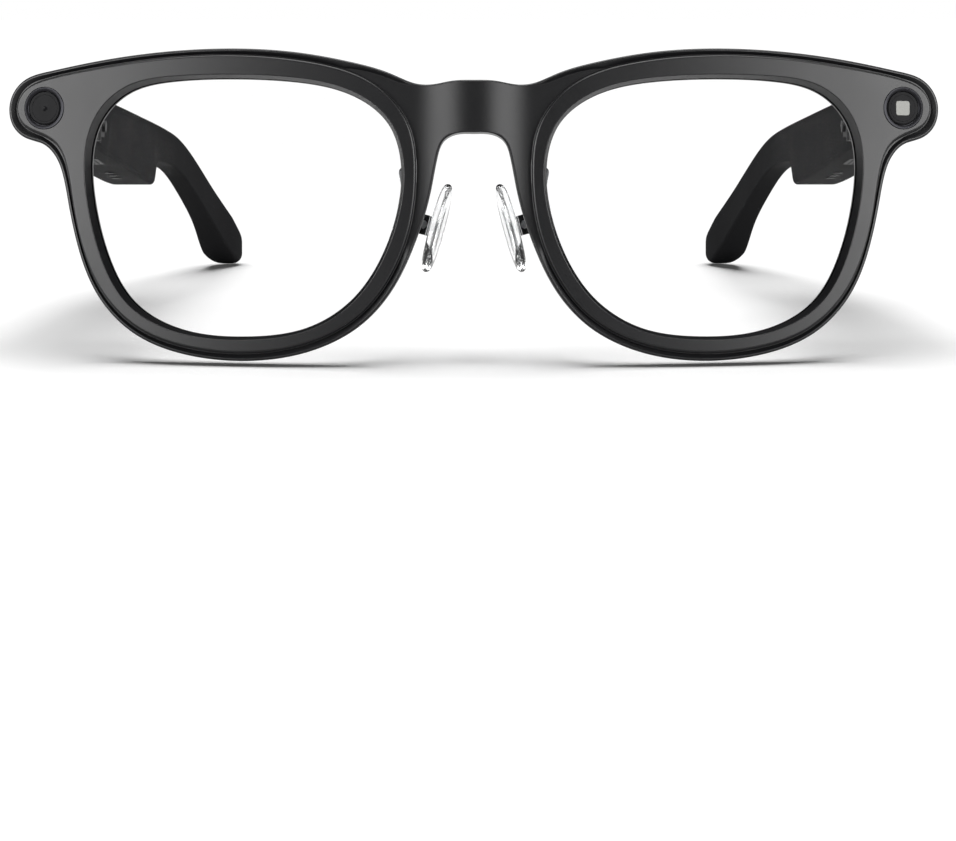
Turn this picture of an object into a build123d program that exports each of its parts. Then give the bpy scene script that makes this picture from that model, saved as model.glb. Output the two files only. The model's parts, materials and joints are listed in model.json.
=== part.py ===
"""Smart glasses: a plastic front with two clear lenses, adjustable nose pads and two hinged temples
that hold the electronics. Millimetres. The pieces are drawn level, with X to the wearer's left,
Y backwards along the temples and Z up from the lens centre line. They are then tipped onto the
rims and the temple tips, the way the glasses rest on a table."""
from build123d import *
import math
import os

# ---- driving dimensions -------------------------------------------------------------------
frame_radius = 300.0  # plan curve of the front: its foremost surface lies on this vertical cylinder
rim_thickness = 4.4  # foremost surface to the back of the rim
step_depth = 1.0  # the raised eye surrounds stand this far proud of the base
groove_front = 1.9  # lens groove, counted from the foremost surface
groove_rear = 3.5
groove_depth = 0.8
lens_play = 0.05
bridge_rise = 1.5  # forward bulge of the bridge over the base, from its middle out to its foot
bridge_middle = 0.6
bridge_foot = 9.4

lug_inner = 61.8  # the lugs at the ends of the front carry the hinges
lug_low = 8.6
lug_rear = 16.6
lug_outside = [(74.6, 10.5), (72.0, lug_rear)]  # taper of the lug's outer side in plan
window_x = 68.5  # centre of the camera window and of the light window
window_z = 16.1
window_depth = 0.9  # seat of the bezel and glass below the surface
glass_thickness = 0.7
bezel_radius = 3.36
bezel_proud = 0.05
bezel_play = 0.03
glass_radius = 2.75
module_radius = 2.1
module_play = 0.2
pocket_x = (64.6, 70.6)  # pocket behind the window
pocket_z = (12.9, 19.3)
pocket_front = 11.0
lid_margin = 0.6  # the rear lid overlaps the pocket by this much
lid_thickness = 1.2
part_play = 0.05

hinge_x = 62.5
hinge_y = 17.6
knuckle_radius = 1.5
pin_radius = 0.7
pin_play = 0.03
knuckle_play = 0.1
hinge_low = 11.5
hinge_high = 19.1
knuckle_height = 1.9
leaf_x = (61.9, 62.8)  # plate of the leaf let into the lug
leaf_y = (12.0, 15.9)
leaf_screw_y = 13.75
leaf_screw_z = (13.3, 17.3)
temple_leaf = ((61.9, 63.9), (19.4, 26.4), (12.6, 18.0))  # plate on the temple, x, y and z limits
temple_screw_places = [(22.0, 16.4), (24.8, 14.2)]  # y and z
shank_radius = 0.45

temple_front = 16.9
box_end = 86.0  # rear end of the thick electronics box in each temple
lid_depth = 63.9  # the inner lids end here, measured across the glasses
cavity_outer = 70.6
cavity_start = 27.5
cavity_end = 84.2
cavity_top = 17.8
cavity_wall = 1.4  # floor of the hollow over the underside
lid_seat_margin = 0.7
core_radius = 0.7
grille_x = (65.4, 68.8)  # speaker opening in the underside
grille_y = (39.5, 48.5)
grille_hole = 0.25
grille_pitch = 0.9
microphone_at = (66.5, 33.0)
microphone_port = 0.4
contact_x = 66.8
contact_places = [62.0, 66.0, 70.0]
contact_radius = 0.9
contact_proud = 0.15
button_x = (65.6, 68.6)  # capture button in the top of the right temple
button_y = (31.0, 38.0)
button_top = 20.0
button_flange = 17.75
battery = ((64.4, 69.9), (52.5, 82.5), (10.7, 17.2))

pad_centre = (5.9, 9.5, -3.0)
pad_lean = 15.2  # degrees from upright, top towards the nose
pad_splay = 6.0  # degrees, rear edges wider apart
pad_length = 14.6
pad_width = 7.4
pad_thickness = 2.0
pad_rim = 0.85
pivot_depth = -2.2  # the pad tilts about an axis this far behind its middle
wire_radius = 0.5

# Half outlines of the front, (x, z), from the middle of the bridge round the lug to the arch.
outline_half = [
    (0, 19.9), (3.4, 19.8), (6.6, 19.3), (9.2, 19.5), (13.0, 21.0), (19.0, 22.8), (27.5, 24.4),
    (38.5, 25.15), (50.0, 24.7), (61.0, 23.3), (68.0, 22.0), (71.9, 20.75), (74.0, 18.4),
    (74.55, 15.8), (73.8, 13.2), (71.7, 11.4), (68.9, 10.45), (66.9, 8.6), (65.5, 5.2),
    (64.7, 1.2), (63.3, -5.2), (60.2, -13.1), (54.0, -19.7), (45.0, -23.2), (36.0, -24.05),
    (26.0, -22.6), (18.0, -18.6), (12.9, -13.0), (9.4, -5.9), (6.9, 2.0), (5.7, 8.0),
    (4.6, 10.6), (2.6, 11.6), (0, 11.7),
]
opening_outline = [
    (28.0, 19.95), (38.5, 20.55), (48.0, 20.25), (55.0, 18.5), (59.6, 13.8), (61.1, 7.0),
    (60.6, 1.0), (58.5, -7.2), (54.2, -14.7), (46.5, -19.1), (36.0, -20.25), (26.0, -18.7),
    (19.0, -14.2), (14.4, -7.4), (11.8, 0.8), (11.5, 7.2), (13.6, 13.4), (19.0, 17.7),
]
# Raised eye surround, which runs out over the lug.
plateau_outline = [
    (26.0, 22.9), (38.5, 24.05), (50.0, 23.6), (61.0, 22.15), (68.0, 20.8), (71.6, 19.2),
    (73.1, 16.2), (72.0, 13.5), (69.2, 12.0), (66.6, 10.4), (64.8, 6.6), (63.9, 1.4),
    (62.5, -5.2), (59.3, -12.7), (53.3, -18.8), (44.8, -21.95), (36.0, -22.75), (26.4, -21.3),
    (18.2, -17.0), (12.8, -10.2), (9.9, -2.4), (9.1, 5.4), (10.1, 12.6), (15.0, 18.9),
]
# Temple seen from the side, (y, z), and from above, (x, y).
temple_top = [
    (temple_front, 19.4), (60, 19.5), (86, 19.1), (97, 18.6), (106, 17.8), (114, 16.1),
    (122, 13.25), (131, 9.2), (140, 4.5), (148, -0.2),
]
tip_end = [(148, -0.2), (152.3, -3.6), (150.6, -7.2), (146.0, -6.9)]
temple_underside = [(146.0, -6.9), (137, -1.6), (125, 4.8), (114, 9.3), (106, 11.3), (98, 12.0)]
box_underside = [(98, 12.0), (90, 12.0), (86.4, 10.8), (85.6, 7.9), (83.2, 7.0), (temple_front, 11.2)]
temple_inside = [
    (63.0, temple_front), (62.6, 48), (62.0, 80), (61.1, 94), (59.4, 112), (57.0, 127), (53.9, 140),
    (51.3, 148.5),
]
temple_outside = [
    (56.2, 153.2), (58.6, 147), (60.4, 134), (62.3, 120), (64.2, 106), (66.4, 96), (70.2, 86.6),
    (72.0, 74), (72.2, 48), (72.0, temple_front),
]
core_route = [
    (63.8, 88.5, 15.3), (62.9, 101, 15.0), (61.0, 114, 12.8), (58.9, 127, 7.9), (56.5, 140, 1.6),
]
# Cable channel over the lenses, (x, z), from the bridge to the lug.
brow_half = [(0, 17.6), (6.5, 17.3), (12.5, 18.6), (19.5, 21.0), (28.5, 22.4), (38.5, 22.95),
             (50.0, 22.5), (58.0, 21.3), (63.0, 19.3)]
brow_line = [(-x, z) for x, z in brow_half[:0:-1]] + brow_half

tip_low = 7.35  # depth of the temple tips below the lens centre line
tip_low_y = 150.0
rim_low = 24.05
rim_low_y = 6.6

pieces = {}
upright = (Align.CENTER, Align.CENTER, Align.MIN)


# ---- drawing helpers ----------------------------------------------------------------------
def both_sides(half):
    """A closed list of points from a half outline that starts and ends on the centre line."""
    return half + [(-x, z) for x, z in half[-2:0:-1]]


def front_face(points):
    """A smooth closed outline in the front view."""
    return make_face(Spline(*[(x, 0, z) for x, z in points], periodic=True))


def grown(points, margin):
    """Points of a clockwise outline moved outward by an even margin."""
    spine = Spline(*[(x, 0, z) for x, z in points], periodic=True)
    count = 3 * len(points)
    moved = []
    for i in range(count):
        spot, tangent = spine.position_at(i / count), spine.tangent_at(i / count)
        moved.append((spot.X - tangent.Z * margin, spot.Z + tangent.X * margin))
    return moved


def front_prism(face, start=-8.0, end=40.0):
    """A front-view face carried backwards from start to end."""
    return Pos(0, start, 0) * extrude(face, amount=end - start, dir=(0, 1, 0))


def curved_layer(front, rear):
    """The part of the curved front between two depths below its foremost surface."""
    tall = 120
    outer = Cylinder(frame_radius - front, tall)
    inner = Cylinder(frame_radius - rear, tall)
    return Pos(0, frame_radius, 0) * (outer - inner)


def block(x, y, z, rounding=0.0):
    """A box from its limits on each axis, with its edges rounded."""
    size = Box(x[1] - x[0], y[1] - y[0], z[1] - z[0])
    centred = Pos((x[0] + x[1]) / 2, (y[0] + y[1]) / 2, (z[0] + z[1]) / 2) * size
    return fillet(centred.edges(), rounding) if rounding else centred


def rod(start, end, radius):
    """A round rod between two points."""
    along = Vector(*end) - Vector(*start)
    return Plane(origin=start, z_dir=along) * Cylinder(radius, along.length, align=upright)


def band(points, width):
    """A strip of even width along a smooth line in the front view."""
    spine = Spline(*[(x, 0, z) for x, z in points])
    places = [i / (4 * len(points)) for i in range(4 * len(points) + 1)]
    upper, lower = [], []
    for place in places:
        tangent = spine.tangent_at(place)
        side = Vector(-tangent.Z, 0, tangent.X)
        upper.append(spine.position_at(place) + side * (width / 2))
        lower.append(spine.position_at(place) - side * (width / 2))
    edges = [Spline(*upper), Line(upper[-1], lower[-1]), Spline(*lower[::-1]), Line(lower[0], upper[0])]
    return make_face(Wire(edges))


def other_side(shape):
    return mirror(shape, about=Plane.YZ)


def keep(name, shape):
    pieces[name] = shape


def keep_pair(name, shape):
    """The same piece on both sides; left is the wearer's left, towards +X."""
    keep(f"{name}_left", shape)
    keep(f"{name}_right", other_side(shape))


def one_solid(shape):
    """The shape with its largest solid only."""
    return max(shape.solids(), key=lambda solid: solid.volume)


# ---- front --------------------------------------------------------------------------------
def window_plane():
    """Plane at the middle of the lug's round window, facing out of the curved front."""
    turn = math.asin(window_x / frame_radius)
    depth = frame_radius * (1 - math.cos(turn))
    return Plane(origin=(window_x, depth, window_z), x_dir=(0, 0, 1),
                 z_dir=(math.sin(turn), -math.cos(turn), 0))


def bridge_bulge():
    """The bridge's forward bulge, drawn in plan and limited by the outline."""
    middle, foot = bridge_middle, bridge_foot
    top = step_depth - bridge_rise
    base = step_depth + foot**2 / (2 * frame_radius)
    back = (step_depth + rim_thickness) / 2
    flank = ((middle + foot) / 2, (top + base) / 2)
    plan = make_face(Wire([
        Line((-middle, top), (middle, top)),
        Spline((middle, top), flank, (foot, base), tangents=[(1, 0), (1, 0)]),
        Line((foot, base), (foot, back)),
        Line((foot, back), (-foot, back)),
        Line((-foot, back), (-foot, base)),
        Spline((-foot, base), (-flank[0], flank[1]), (-middle, top), tangents=[(1, 0), (1, 0)]),
    ]))
    return Pos(0, 0, 5) * extrude(plan, amount=20, dir=(0, 0, 1))


def lug_block(outline):
    """The deep end of the front that the hinge bolts to, tapered towards the temple."""
    front = 8.5  # inside the thickness of the curved front
    plan = make_face(Polyline((lug_inner, front), (76, front), *lug_outside, (lug_inner, lug_rear),
                              close=True))
    column = Pos(0, 0, lug_low) * extrude(plan, amount=15, dir=(0, 0, 1))
    return column & front_prism(outline, 0, 20)


def window_disc(radius, start, height):
    """A disc on the window's axis that starts at the given height over the surface."""
    return window_plane() * Pos(0, 0, start) * Cylinder(radius, height, align=upright)


def widened(limits, margin):
    return limits[0] - margin, limits[1] + margin


def lug_hollow():
    """Pocket behind the round window, its bores, and the seat of its rear lid."""
    bores = window_disc(bezel_radius, -window_depth, 2)
    bores += window_disc(module_radius + module_play, -rim_thickness, 5)
    pocket = block(pocket_x, (pocket_front, lug_rear + 1), pocket_z)
    lid_seat = block(widened(pocket_x, lid_margin), (lug_rear - lid_thickness, lug_rear + 1),
                     widened(pocket_z, lid_margin))
    return bores + pocket + lid_seat


def make_front():
    outline = front_face(both_sides(outline_half))
    opening = front_face(opening_outline)
    plateau = front_face(plateau_outline)
    front = front_prism(outline) & curved_layer(step_depth, rim_thickness)
    front += bridge_bulge() & front_prism(outline)
    groove = front_prism(front_face(grown(opening_outline, groove_depth)))
    groove &= curved_layer(groove_front, groove_rear)
    leaf_recess = block((61.0, leaf_x[1]), (leaf_y[0] - 0.1, lug_rear + 1), (hinge_low, hinge_high))
    knuckle_recess = block((61.0, 64.4), (leaf_y[1], lug_rear + 1), (8.0, 23.0))
    screw_holes = leaf_screws()
    arm_hole = rod((9.3, 3.0, 6.2), (9.3, 8.0, 6.2), wire_radius)
    channel = front_prism(band(brow_line, 1.8)) & curved_layer(rim_thickness - 1.6, 20)
    cuts = [front_prism(opening), groove, lug_hollow(), leaf_recess, knuckle_recess, screw_holes,
            arm_hole]
    half = front_prism(plateau) & curved_layer(0, step_depth + 0.6)
    half += lug_block(outline)
    front = front + half + other_side(half) - channel
    for cut in cuts:
        front = front - cut - other_side(cut)
    keep("front_frame", one_solid(front))

    lens = front_prism(front_face(grown(opening_outline, groove_depth - lens_play)))
    lens &= curved_layer(groove_front + lens_play, groove_rear - lens_play)
    keep_pair("lens", lens)
    cover = front_prism(band(brow_line, 1.7)) & curved_layer(rim_thickness - 0.7, rim_thickness)
    keep("brow_cover", cover & block((-61.4, 61.4), (0, 30), (10, 30)))
    flex = front_prism(band(brow_line, 1.2))
    keep("brow_flex", flex & curved_layer(rim_thickness - 1.5, rim_thickness - 1.2))


def leaf_screws():
    """Two screw shanks that hold the hinge leaf to the lug."""
    return Part() + [rod((leaf_x[0], leaf_screw_y, z), (64.0, leaf_screw_y, z), shank_radius)
                     for z in leaf_screw_z]


def make_lug_parts():
    ring_radius = bezel_radius - bezel_play
    bezel = window_disc(ring_radius, -window_depth, window_depth + bezel_proud)
    bezel -= window_disc(glass_radius, -window_depth, 2)
    glass = window_disc(glass_radius - 0.02, -window_depth, glass_thickness)
    keep("camera_bezel", other_side(bezel))
    keep("camera_window", other_side(glass))
    keep("led_bezel", bezel)
    keep("led_window", glass)
    barrel = window_disc(module_radius, -3.6, 2.6)
    barrel -= window_plane() * Pos(0, 0, -2.0) * Cone(0.9, 1.7, 1.1, align=upright)
    sensor = block((65.0, 70.2), (11.2, 14.0), (13.4, 18.8))
    socket = block((65.4, 69.8), (14.0, 14.9), (14.0, 18.2))
    keep("camera_module", other_side(barrel + sensor + socket))
    board = block((65.0, 70.2), (12.6, 13.4), (13.2, 19.0))
    board += window_plane() * Pos(0, 0, -2.6) * Box(2.7, 2.7, 1.2)
    board += window_plane() * Pos(0, 0, -4.8) * Box(2.0, 2.0, 3.8)
    keep("led_board", board)
    margin = lid_margin - part_play
    lid = block(widened(pocket_x, margin), (lug_rear - lid_thickness, lug_rear), widened(pocket_z, margin))
    keep_pair("lug_lid", fillet(lid.edges().filter_by(Axis.Y), 0.5))


# ---- hinges -------------------------------------------------------------------------------
def knuckle(low, high):
    """One hinge knuckle, still without its pin hole."""
    return rod((hinge_x, hinge_y, low), (hinge_x, hinge_y, high), knuckle_radius)


def pin_hole():
    return rod((hinge_x, hinge_y, 0), (hinge_x, hinge_y, 30), pin_radius + pin_play)


def make_hinge():
    leaf = block(leaf_x, leaf_y, (hinge_low, hinge_high))
    for low in (hinge_low, hinge_high - knuckle_height):
        leaf += knuckle(low, low + knuckle_height)
        leaf += block((61.3, leaf_x[1]), (15.6, hinge_y), (low, low + knuckle_height))
    keep_pair("hinge_frame_leaf", leaf - pin_hole() - leaf_screws())

    low = hinge_low + knuckle_height + knuckle_play
    high = hinge_high - knuckle_height - knuckle_play
    tongue = knuckle(low, high) + block((61.4, 63.0), (hinge_y, 20.0), (low, high))
    tongue += block(*temple_leaf)
    keep_pair("hinge_temple_leaf", tongue - pin_hole() - temple_screw_shanks())

    head_low = hinge_high + 0.02
    pin = rod((hinge_x, hinge_y, hinge_low - 0.2), (hinge_x, hinge_y, head_low), pin_radius)
    head = rod((hinge_x, hinge_y, head_low), (hinge_x, hinge_y, hinge_high + 0.5), 1.15)
    slot = block((hinge_x - 1.2, hinge_x + 1.2), (hinge_y - 0.15, hinge_y + 0.15),
                 (hinge_high + 0.3, hinge_high + 1))
    keep_pair("hinge_pin", pin + head - slot)

    plate = leaf_x[0]
    frame_heads = Part() + [rod((plate - 0.4, leaf_screw_y, z), (plate, leaf_screw_y, z), 0.8)
                            for z in leaf_screw_z]
    keep_pair("hinge_frame_screws", frame_heads + leaf_screws())
    temple_heads = Part() + [rod((plate - 0.5, y, z), (plate, y, z), 0.85) for y, z in temple_screw_places]
    keep_pair("hinge_temple_screws", temple_heads + temple_screw_shanks())


def temple_screw_shanks():
    return Part() + [rod((temple_leaf[0][0], y, z), (66.0, y, z), shank_radius)
                     for y, z in temple_screw_places]


# ---- temples ------------------------------------------------------------------------------
def temple_body():
    """The temple's outer form: its side view and its plan, carried through each other."""
    side = [Spline(*[(0, y, z) for y, z in run]) for run in (temple_top, tip_end, temple_underside)]
    underside = FilletPolyline(*[(0, y, z) for y, z in box_underside], radius=1.0)
    front_edge = Line((0, *box_underside[-1]), (0, *temple_top[0]))
    side_face = make_face([*side, *underside.edges(), front_edge])
    plan = Wire([
        Spline(*[(x, y, 0) for x, y in temple_inside]),
        Spline((*temple_inside[-1], 0), (52.8, 152.6, 0), (*temple_outside[0], 0)),
        Spline(*[(x, y, 0) for x, y in temple_outside]),
        Line((*temple_outside[-1], 0), (*temple_inside[0], 0)),
    ])
    from_side = Pos(45, 0, 0) * extrude(side_face, amount=35, dir=(1, 0, 0))
    from_above = Pos(0, 0, -12) * extrude(make_face(plan), amount=40, dir=(0, 0, 1))
    return from_side & from_above


def side_prism(points, x):
    """A straight-sided outline in the side view, carried across between two x values."""
    face = make_face(Polyline(*[(0, y, z) for y, z in points], close=True))
    return Pos(x[0], 0, 0) * extrude(face, amount=x[1] - x[0], dir=(1, 0, 0))


def box_floor(y):
    """Height of the outer underside of the thick part at y."""
    (y1, z1), (y0, z0) = box_underside[-2:]
    return z0 + (z1 - z0) * (y - y0) / (y1 - y0)


def cavity(margin, x):
    """The hollow of the thick part in the side view, grown outward by margin."""
    start, end = cavity_start - margin, cavity_end + margin
    top, wall = cavity_top + margin, cavity_wall - margin
    return side_prism([(start, top), (end, top), (end, box_floor(end) + wall),
                       (start, box_floor(start) + wall)], x)


def core_wire():
    runs = FilletPolyline(*core_route, radius=25)
    return sweep(Plane(origin=runs @ 0, z_dir=runs % 0) * Circle(core_radius), path=runs)


def make_temples():
    body = temple_body()
    lid_room = cavity(lid_seat_margin, (55.0, lid_depth)) & body
    lid = cavity(lid_seat_margin - part_play, (55.0, lid_depth)) & body
    speaker_slot = block(grille_x, grille_y, (5.0, 13.0))
    port = rod((*microphone_at, 6.0), (*microphone_at, 13.5), microphone_port)
    leaf_room = block((60.0, temple_leaf[0][1]), (temple_front, temple_leaf[1][1]), temple_leaf[2])
    leaf_room += block((60.0, 63.05), (16.0, 20.1), (13.4, 17.3))
    shell = body - lid_room - cavity(0, (lid_depth - 1, cavity_outer))
    shell -= rod((hinge_x, hinge_y, 5), (hinge_x, hinge_y, 25), knuckle_radius + 0.2)
    shell = shell - speaker_slot - port - leaf_room - temple_screw_shanks() - core_wire()
    contacts = Part() + [contact(y) for y in contact_places]
    screw_holes = lid_screws()
    lid -= screw_holes
    button_slot = block(widened(button_x, 0.1), widened(button_y, 0.1), (17, 21))

    keep("temple_shell_left", one_solid(shell - contacts - screw_holes))
    keep("temple_shell_right", other_side(one_solid(shell - contacts - screw_holes - button_slot)))
    keep_pair("temple_lid", one_solid(lid))
    keep_pair("lid_screws", screw_holes)
    keep_pair("charge_contacts", contacts)
    keep_pair("temple_core", core_wire())
    keep_pair("battery", block(*battery, 0.6))
    keep_pair("speaker", speaker())
    keep_pair("speaker_grille", grille())
    microphone = block((65.2, 67.8), (31.2, 34.8), (11.9, 12.9))
    keep_pair("microphone", microphone - rod((*microphone_at, 11), (*microphone_at, 12.4), microphone_port))
    keep_pair("control_board", control_board())
    keep("touch_sensor_right", other_side(block((70.2, 70.55), (40.0, 78.0), (11.2, 17.4))))
    make_button()


def contact(y):
    """One charging contact, a stud in the underside of the thick part with a flat outer face."""
    floor = box_floor(y)
    return rod((contact_x, y, floor - contact_proud), (contact_x, y, floor + cavity_wall), contact_radius)


def lid_screws():
    """Countersunk screws through the inner lid."""
    screws = Part()
    for y in (28.2, cavity_end - 0.1):
        z = (cavity_top + box_floor(y) + cavity_wall) / 2
        screws += rod((62.35, y, z), (66.5, y, z), 0.35)
        screws += rod((61.9, y, z), (62.7, y, z), 0.7)
    return screws


def speaker():
    case = block((64.6, 69.6), (38.5, 49.5), (11.9, 15.6), 0.5)
    return case - block((65.6, 68.6), (40, 48), (11, 12.3))


def grille():
    """Perforated plate let into the underside below the speaker."""
    floor = box_floor(sum(grille_y) / 2)
    plate = block(grille_x, grille_y, (floor + 0.45, floor + 1.0))
    for i in range(9):
        for j in range(3):
            y = grille_y[0] + 0.9 + grille_pitch * i
            x = grille_x[0] + 0.8 + grille_pitch * j
            plate -= rod((x, y, floor), (x, y, floor + 2), grille_hole)
    return plate


def control_board():
    board = block((64.1, 64.8), (29.0, 51.0), (16.0, 17.5))
    board += block((64.1, 64.8), (29.0, 37.5), (13.4, 17.5))
    return board + block((64.8, 65.1), (40.0, 46.0), (16.2, 17.3))


def make_button():
    """Capture button in the top of the right temple, with the switch it presses."""
    cap = block(button_x, button_y, (button_flange, button_top))
    cap = fillet(cap.edges().group_by(Axis.Z)[-1], 0.5)
    cap += block(widened(button_x, 0.3), widened(button_y, 0.7), (button_flange - 0.5, button_flange))
    keep("capture_button", other_side(cap))
    switch = block((65.5, 68.6), (32.5, 36.5), (15.7, 16.5))
    keep("button_switch", other_side(switch + block((66.3, 67.9), (33.7, 35.3), (16.5, 16.83))))


# ---- nose pads ----------------------------------------------------------------------------
def pad_plane():
    """Local plane of the left pad: x across its width, y along its length, z towards the nose."""
    lean, splay = math.radians(pad_lean), math.radians(pad_splay)
    up = Vector(-math.sin(lean), 0, math.cos(lean))
    nose = Vector(-math.cos(lean), 0, -math.sin(lean))
    nose = nose * math.cos(splay) + Vector(0, -1, 0) * math.sin(splay)
    return Plane(origin=pad_centre, x_dir=up.cross(nose), z_dir=nose)


def local_block(x, y, z, rounding=0.0):
    return pad_plane() * block(x, y, z, rounding)


def pad_pin(radius, x):
    """A cylinder on the pad's tilt axis between two places across its width."""
    axis = Plane(origin=(x[0], 0, pivot_depth), z_dir=(1, 0, 0))
    return pad_plane() * (axis * Cylinder(radius, x[1] - x[0], align=upright))


def make_nose_pads():
    core = local_block((-1.6, 1.6), (-3.4, 3.4), (-0.25, 0.25))
    core += local_block((-0.58, 0.58), (-0.7, 0.7), (pivot_depth - 0.5, 0))
    core -= pad_pin(0.40, (-3, 3))
    outline = Ellipse(pad_width / 2, pad_length / 2)
    slab = extrude(outline, amount=pad_thickness / 2, both=True)
    slab = fillet(slab.edges(), pad_rim)
    keep_pair("nose_pad", one_solid(pad_plane() * slab - core))
    keep_pair("pad_core", one_solid(core))

    clip = local_block((-1.5, 1.5), (-1.6, 1.6), (-3.4, -1.4))
    clip -= local_block((-0.68, 0.68), (-2, 2), (-2.95, -1))
    clip -= pad_pin(0.38, (-3, 3))
    keep_pair("pad_screw", pad_pin(0.36, (-1.5, 1.52)) + pad_pin(0.7, (1.52, 1.9)))
    end = pad_plane().from_local_coords((0, 0.4, -3.2))
    keep_pair("pad_arm", clip + pad_wire(end))


def pad_wire(end):
    """Bent wire from the back of the rim out and round to the pad's clip."""
    route = [(9.3, 3.0, 6.2), (9.3, 7.6, 6.2), (11.6, 9.4, 6.3), (11.2, 12.0, 3.6),
             (end.X + 0.8, end.Y + 1.0, end.Z + 1.6), (end.X, end.Y, end.Z)]
    runs = FilletPolyline(*route, radius=0.9)
    return sweep(Plane(origin=runs @ 0, z_dir=runs % 0) * Circle(wire_radius), path=runs)


# ---- resting pose and files ---------------------------------------------------------------
def resting_place():
    """Tips the glasses back until rims and temple tips touch one plane, and centres them on it."""
    tilt = math.degrees(math.atan2(rim_low - tip_low, tip_low_y - rim_low_y))
    tipped = Rot(-tilt, 0, 0)
    box = Compound([(tipped * shape).moved(Location()) for shape in pieces.values()]).bounding_box()
    return Pos(0, -box.center().Y, -box.min.Z) * tipped


def write_files():
    os.makedirs("parts", exist_ok=True)
    place = resting_place()
    for name, shape in pieces.items():
        export_step(place * shape, f"parts/{name}.step")


make_front()
make_lug_parts()
make_hinge()
make_temples()
make_nose_pads()
write_files()
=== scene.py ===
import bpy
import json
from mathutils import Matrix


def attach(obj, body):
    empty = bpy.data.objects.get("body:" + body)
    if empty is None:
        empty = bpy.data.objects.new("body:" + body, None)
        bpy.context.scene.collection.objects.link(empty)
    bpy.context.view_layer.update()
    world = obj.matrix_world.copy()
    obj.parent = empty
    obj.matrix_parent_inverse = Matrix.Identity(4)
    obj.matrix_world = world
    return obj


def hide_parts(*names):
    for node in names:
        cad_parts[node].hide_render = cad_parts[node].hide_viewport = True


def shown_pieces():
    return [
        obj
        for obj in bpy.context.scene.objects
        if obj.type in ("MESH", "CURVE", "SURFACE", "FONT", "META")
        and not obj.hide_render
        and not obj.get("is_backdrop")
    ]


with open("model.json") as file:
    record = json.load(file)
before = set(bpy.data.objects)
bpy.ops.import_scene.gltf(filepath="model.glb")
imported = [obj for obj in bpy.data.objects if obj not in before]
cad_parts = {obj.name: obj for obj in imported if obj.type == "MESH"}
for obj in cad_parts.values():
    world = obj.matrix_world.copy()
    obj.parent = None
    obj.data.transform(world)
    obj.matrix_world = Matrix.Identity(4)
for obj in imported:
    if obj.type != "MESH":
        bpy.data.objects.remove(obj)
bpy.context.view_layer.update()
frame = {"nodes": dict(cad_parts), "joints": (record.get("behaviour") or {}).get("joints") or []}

import json
import math
import bmesh
import bpy
import numpy as np

# All shapes are drawn in millimetres with the glasses level, X to the wearer's left, Y back
# along the temples and Z up from the lens centre line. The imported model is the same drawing
# tipped onto its rims and temple tips, and the left hinge pin says how far.
pinDrawn = np.array([62.5, 17.6, 15.3])
foldJoint = next(j for j in frame["joints"] if j["name"] == "temple_left_fold")
tipSin, tipCos = np.array(foldJoint["axis"])[1:] / np.linalg.norm(foldJoint["axis"])
tipTurn = np.array([[1, 0, 0], [0, tipCos, tipSin], [0, -tipSin, tipCos]])
tipShift = np.array(foldJoint["pos_m"]) - tipTurn @ pinDrawn / 1000


def placed(points):
    return np.asarray(points, float) @ tipTurn.T / 1000 + tipShift


# Meshes.

def gridFaces(rows, columns, closedRows=False, closedColumns=False, start=0):
    r = np.arange(rows if closedRows else rows - 1)[:, None]
    c = np.arange(columns if closedColumns else columns - 1)[None, :]
    nextR, nextC = (r + 1) % rows, (c + 1) % columns
    corners = [r * columns + c, r * columns + nextC, nextR * columns + nextC, nextR * columns + c]
    return np.stack([np.broadcast_to(k, (r.size, c.size)) for k in corners], -1).reshape(-1, 4) + start


def joined(parts):
    # Several (points, faces) as one.
    points, faces, count = [], [], 0
    for p, f in parts:
        points.append(np.asarray(p, float).reshape(-1, 3))
        faces.append(np.asarray(f) + count)
        count += len(points[-1])
    return np.vstack(points), np.vstack(faces)


def mirrored(part):
    points, faces = part
    return np.asarray(points, float).reshape(-1, 3) * [-1, 1, 1], np.asarray(faces)[:, ::-1]


def asDrawn(part):
    return part


sides = (("left", asDrawn), ("right", mirrored))


def newMesh(name, part, mergeMm=1e-4):
    # The mesh of a part, its doubles merged and its faces turned outwards.
    points, faces = part
    mesh = bpy.data.meshes.new(name)
    mesh.from_pydata(placed(points).tolist(), [], faces.tolist())
    work = bmesh.new()
    work.from_mesh(mesh)
    bmesh.ops.remove_doubles(work, verts=work.verts, dist=mergeMm / 1000)
    bmesh.ops.recalc_face_normals(work, faces=work.faces)
    work.to_mesh(mesh)
    work.free()
    return mesh


def newPiece(name, part, body, material, nodes, cut=None, add=None, sharp=34):
    obj = bpy.data.objects.new(name, newMesh(name, part))
    bpy.context.scene.collection.objects.link(obj)
    for operation, tool in (("UNION", add), ("DIFFERENCE", cut)):
        if tool is None:
            continue
        other = bpy.data.objects.new("tool", newMesh("tool", tool))
        bpy.context.scene.collection.objects.link(other)
        step = obj.modifiers.new(operation, "BOOLEAN")
        step.operation, step.object, step.solver = operation, other, "EXACT"
        bpy.context.view_layer.update()
        shape = bpy.data.meshes.new_from_object(obj.evaluated_get(bpy.context.evaluated_depsgraph_get()))
        obj.modifiers.clear()
        obj.data = shape
        bpy.data.objects.remove(other)
    obj.data.shade_smooth()
    obj.data.set_sharp_from_angle(angle=math.radians(sharp))
    obj.data.materials.clear()
    obj.data.materials.append(material)
    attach(obj, body)
    if nodes:
        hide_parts(*nodes)
    return obj


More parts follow.
